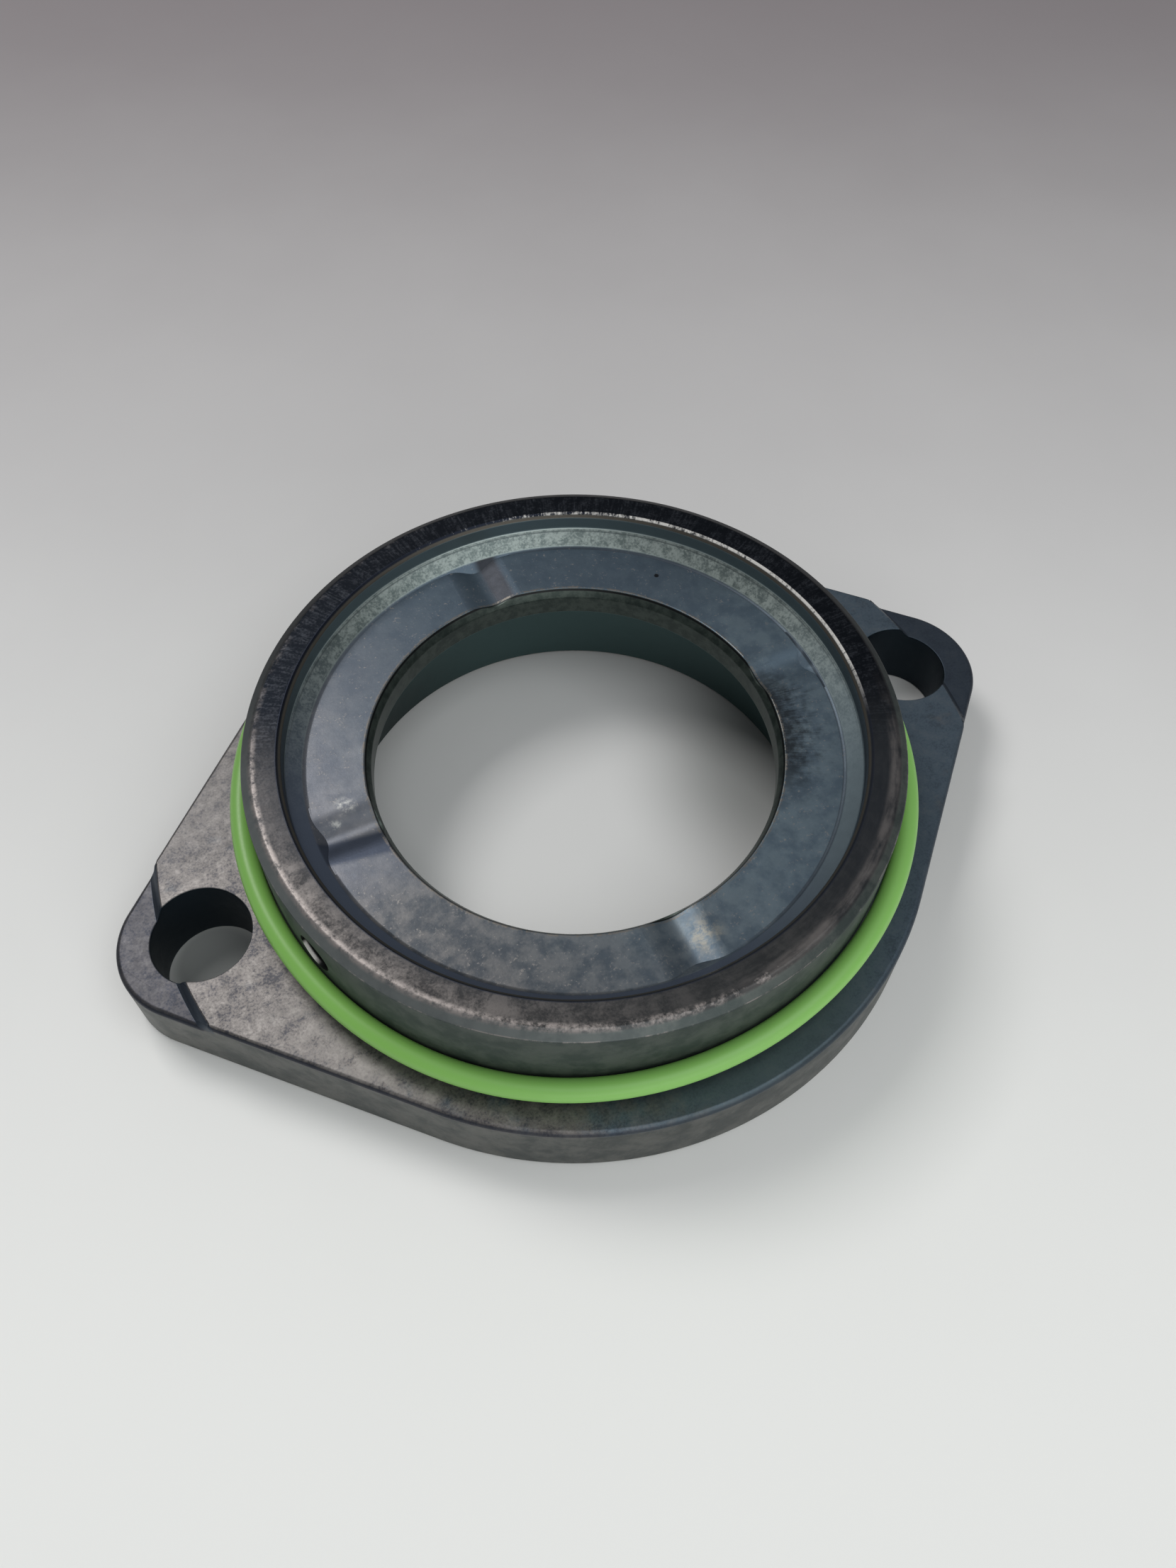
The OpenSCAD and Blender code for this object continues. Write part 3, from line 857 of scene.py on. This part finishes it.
class SEALFLANGE_OT_flange(bpy.types.Operator):
    """Builds the one-piece metal flange"""

    bl_idname = "sealflange.flange"
    bl_label = "Build flange"

    def execute(self, context):
        sizes = context.scene.flange_sizes
        flange = eared_plate(sizes)
        combine(flange, self.spigot(sizes), "UNION")
        combine(flange, self.inside(sizes), "DIFFERENCE")
        combine(flange, self.grooves(sizes), "DIFFERENCE")
        combine(flange, self.side_hole(sizes), "DIFFERENCE")
        work_on(flange)
        bpy.ops.mesh.select_all(action="SELECT")
        bpy.ops.mesh.remove_doubles(threshold=MERGE)
        bpy.ops.mesh.dissolve_degenerate(threshold=MERGE)
        bpy.ops.object.mode_set(mode="OBJECT")
        smooth(flange, 32)
        dress(flange, Oxide(sizes, context.scene.finish_colours).paint(), "flange")
        return {"FINISHED"}

    def spigot(self, sizes):
        """Outside of the spigot, as a thick tube that the plate swallows at its foot."""
        inner = 10 * MM
        foot = 0.5 * MM
        return spun("spigot", [
            (inner, foot, 0),
            (sizes.spigot_r, foot, 0),
            (sizes.spigot_r, sizes.rim_z - sizes.rim_bevel_h, 0.15 * MM),
            (sizes.spigot_r - sizes.rim_bevel_w, sizes.rim_z, 0.12 * MM),
            (inner, sizes.rim_z, 0),
        ])

    def inside(self, sizes):
        """Cutter of all that is turned out along the axis."""
        recess_break = 0.35 * MM
        return spun("inside", [
            (0.0, -OVER, 0),
            (sizes.recess_r + recess_break + OVER, -OVER, 0),
            (sizes.recess_r, recess_break, 0.1 * MM),
            (sizes.recess_r, sizes.web_z, 0.3 * MM),
            (sizes.bore_r, sizes.web_z, 0.1 * MM),
            (sizes.bore_r, sizes.ledge_z - sizes.bore_bevel_h, 0.1 * MM),
            (sizes.bore_mouth_r, sizes.ledge_z, 0.12 * MM),
            (sizes.ledge_r, sizes.ledge_z, 0.2 * MM),
            (sizes.pocket_r, sizes.wall_foot_z, 0.2 * MM),
            (sizes.pocket_r, sizes.rim_z - sizes.pocket_break, 0.12 * MM),
            (sizes.pocket_r + sizes.pocket_break, sizes.rim_z, 0),
            (sizes.pocket_r + sizes.pocket_break + OVER, sizes.rim_z + OVER, 0),
            (0.0, sizes.rim_z + OVER, 0),
        ])

    def grooves(self, sizes):
        """Shallow soft-edged cutters from the bore to the cone."""
        # Half width of a hollow, its steps, and how far its rim stands above the ledge
        reach = 0.72 * sizes.groove_w
        half_steps = 18
        lift = 0.008 * MM
        # The cutters start inside the bore, and so does the room that they are trimmed to
        start = 14 * MM
        room_r = 13 * MM
        low = sizes.groove_depth + OVER
        top = sizes.wall_foot_z
        floor = []
        for step in range(-half_steps, half_steps + 1):
            bell = (0.5 + 0.5 * math.cos(math.pi * step / half_steps)) ** 2
            height = sizes.ledge_z + lift - (sizes.groove_depth + lift) * bell
            floor.append((start, reach * step / half_steps, height))
        cutters = drawn("grooves", [(start, -reach, top), *floor, (start, reach, top)])
        bpy.ops.mesh.extrude_region_move(TRANSFORM_OT_translate={"value": (sizes.pocket_r - start, 0, 0)})
        bpy.ops.mesh.select_all(action="SELECT")
        bpy.ops.mesh.normals_make_consistent(inside=False)
        for turn in (1, 2, 3):
            # Only the first cutter reaches this far along X
            pick_points(cutters, lambda co: co.x > start - OVER)
            bpy.ops.mesh.duplicate()
            bpy.ops.transform.rotate(value=turn * math.pi / 2, orient_axis="Z", center_override=(0, 0, 0))
        bpy.ops.object.mode_set(mode="OBJECT")
        slope = (sizes.pocket_r - sizes.ledge_r) / (sizes.wall_foot_z - sizes.ledge_z)
        slack = 0.03 * MM
        combine(cutters, spun("groove_room", [
            (room_r, sizes.ledge_z - low, 0),
            (sizes.ledge_r - low * slope - slack, sizes.ledge_z - low, 0),
            (sizes.pocket_r - slack, sizes.wall_foot_z, 0),
            (room_r, sizes.wall_foot_z, 0),
        ]), "INTERSECT")
        return cutters

    def side_hole(self, sizes):
        """Cutter of the hole in the spigot's side."""
        turn = sizes.side_hole_turn
        depth = sizes.side_hole_depth + OVER
        middle = sizes.spigot_r + OVER - depth / 2
        height = (sizes.ledge_z + sizes.web_z) / 2
        return rods("side_hole", sizes.side_hole_r, depth, [
            ((math.cos(turn) * middle, math.sin(turn) * middle, height), (0, math.pi / 2, turn))
        ], 48)


class SEALFLANGE_OT_ring(bpy.types.Operator):
    """Builds the rubber ring round the spigot"""

    bl_idname = "sealflange.ring"
    bl_label = "Build o-ring"

    def execute(self, context):
        sizes = context.scene.ring_sizes
        clear_selection()
        bpy.ops.mesh.primitive_circle_add(
            vertices=48, radius=sizes.section / 2, rotation=(math.pi / 2, 0, 0),
            location=(sizes.outer_r - sizes.section / 2, 0, sizes.height + sizes.lift),
        )
        ring = bpy.context.active_object
        ring.name = "o_ring_body"
        settle(ring)
        bpy.ops.object.mode_set(mode="EDIT")
        bpy.ops.mesh.select_all(action="SELECT")
        bpy.ops.mesh.spin(steps=ROUND_STEPS, angle=math.tau, center=(0, 0, 0), axis=(0, 0, 1))
        merge_all()
        # The section in the direction of the sag is pulled down, and its neighbours follow
        along, across = math.cos(sizes.sag_turn), math.sin(sizes.sag_turn)
        in_line = 0.9998
        pick_points(ring, lambda co: co.x * along + co.y * across > in_line * math.hypot(co.x, co.y))
        bpy.ops.transform.translate(
            value=(0, 0, -sizes.sag), use_proportional_edit=True, proportional_edit_falloff="SMOOTH",
            proportional_size=sizes.sag_reach,
        )
        bpy.ops.object.mode_set(mode="OBJECT")
        bpy.ops.object.shade_smooth()
        dress(ring, rubber_finish(context.scene.finish_colours), "o_ring")
        return {"FINISHED"}


class SEALFLANGE_OT_stage(bpy.types.Operator):
    """Builds the floor, the lights and the camera"""

    bl_idname = "sealflange.stage"
    bl_label = "Build stage"

    def execute(self, context):
        clear_selection()
        bpy.ops.mesh.primitive_plane_add(size=FLOOR_SIZE, location=(0, 0, -FLOOR_GAP))
        floor = bpy.context.active_object
        floor.name = "floor"
        settle(floor)
        floor.data.materials.append(floor_finish(context.scene.finish_colours))
        for lamp in LAMPS:
            self.lamp(*lamp)
        world = bpy.data.worlds.new("studio")
        world.use_nodes = True
        sky = world.node_tree.nodes["Background"].inputs
        sky["Color"].default_value = SKY_COLOUR
        sky["Strength"].default_value = SKY_STRENGTH
        context.scene.world = world
        context.scene.view_settings.view_transform = "Standard"
        bpy.ops.object.camera_add(location=CAMERA_PLACE, rotation=CAMERA_TURN)
        camera = bpy.context.active_object
        camera.name = "photo_camera"
        camera.data.sensor_fit = "VERTICAL"
        camera.data.sensor_height = SENSOR_HEIGHT
        camera.data.lens = CAMERA_LENS
        camera.data.clip_start = 0.005
        context.scene.camera = camera
        return {"FINISHED"}

    def lamp(self, name, place, size, radiance, shade):
        """A soft rectangular light that looks at the flange, as bright as its radiance."""
        bpy.ops.object.light_add(type="AREA", location=place)
        light = bpy.context.active_object
        light.name = name
        light.data.shape = "RECTANGLE"
        light.data.size, light.data.size_y = size
        light.data.energy = math.pi * size[0] * size[1] * radiance
        light.data.color = shade
        aim = light.location.normalized()
        light.rotation_euler = aim.to_track_quat("Z", "Y").to_euler()


class VIEW3D_PT_sealflange(bpy.types.Panel):
    """Sizes, colours and buttons of the seal flange"""

    bl_label = "Seal flange"
    bl_space_type = "VIEW_3D"
    bl_region_type = "UI"
    bl_category = "Seal flange"

    def draw(self, context):
        for group in (context.scene.flange_sizes, context.scene.ring_sizes, context.scene.finish_colours):
            box = self.layout.box()
            for name in group.bl_rna.properties.keys():
                if name not in ("rna_type", "name"):
                    box.prop(group, name)
        for operator in (SEALFLANGE_OT_flange, SEALFLANGE_OT_ring, SEALFLANGE_OT_stage):
            self.layout.operator(operator.bl_idname)


CLASSES = (
    FlangeSizes,
    RingSizes,
    FinishColours,
    SEALFLANGE_OT_flange,
    SEALFLANGE_OT_ring,
    SEALFLANGE_OT_stage,
    VIEW3D_PT_sealflange,
)


def register():
    for cls in CLASSES:
        bpy.utils.register_class(cls)
    bpy.types.Scene.flange_sizes = bpy.props.PointerProperty(type=FlangeSizes)
    bpy.types.Scene.ring_sizes = bpy.props.PointerProperty(type=RingSizes)
    bpy.types.Scene.finish_colours = bpy.props.PointerProperty(type=FinishColours)


def unregister():
    del bpy.types.Scene.finish_colours
    del bpy.types.Scene.ring_sizes
    del bpy.types.Scene.flange_sizes
    for cls in reversed(CLASSES):
        bpy.utils.unregister_class(cls)


def main():
    register()
    bpy.ops.sealflange.flange()
    bpy.ops.sealflange.ring()
    bpy.ops.sealflange.stage()


if __name__ == "__main__":
    main()
